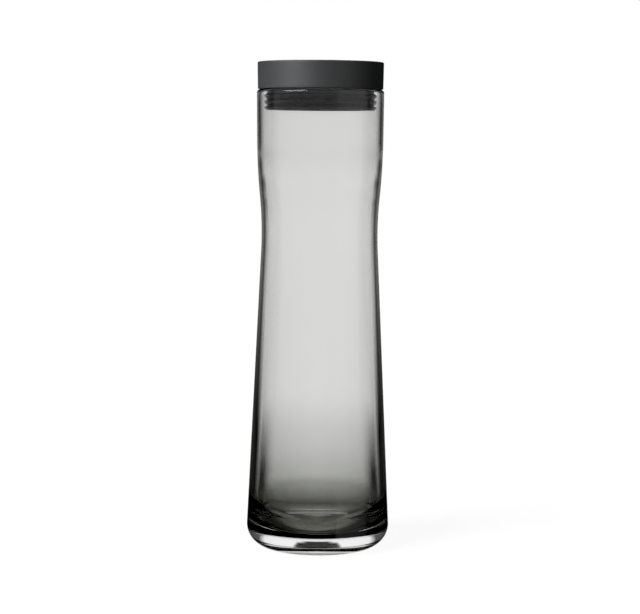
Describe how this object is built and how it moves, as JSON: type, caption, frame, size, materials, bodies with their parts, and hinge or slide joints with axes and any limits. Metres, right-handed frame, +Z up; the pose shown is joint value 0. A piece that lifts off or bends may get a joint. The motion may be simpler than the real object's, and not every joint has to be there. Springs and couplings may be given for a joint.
{
  "type": "water carafe",
  "caption": "Waisted round water carafe of smoke-grey glass with a heavy clear foot, closed by a drum-shaped lid whose ribbed plug seals in the neck.",
  "frame": {"origin": "centre of the foot, on the surface that the carafe stands on", "axes": "+Z up along the axis of the glass, through the mouth; the part is round, so +X and +Y are free"},
  "size_m": [0.091, 0.091, 0.3088],
  "materials": {
    "smoke_glass": "polished smoke-grey glass cased in clear glass",
    "anthracite_cap": "fine matte anthracite",
    "black_core": "satin black moulding",
    "black_seal": "soft black silicone rubber"
  },
  "bodies": {
    "carafe": {"carafe_glass": "smoke_glass"},
    "lid": {"lid_cap": "anthracite_cap", "lid_core": "black_core", "lid_seal": "black_seal"}
  },
  "joints": [
    {"name": "lid_lift", "type": "slide", "parent": "carafe", "child": "lid", "axis": [0, 0, 1], "range_m": [0, 0.06]}
  ]
}
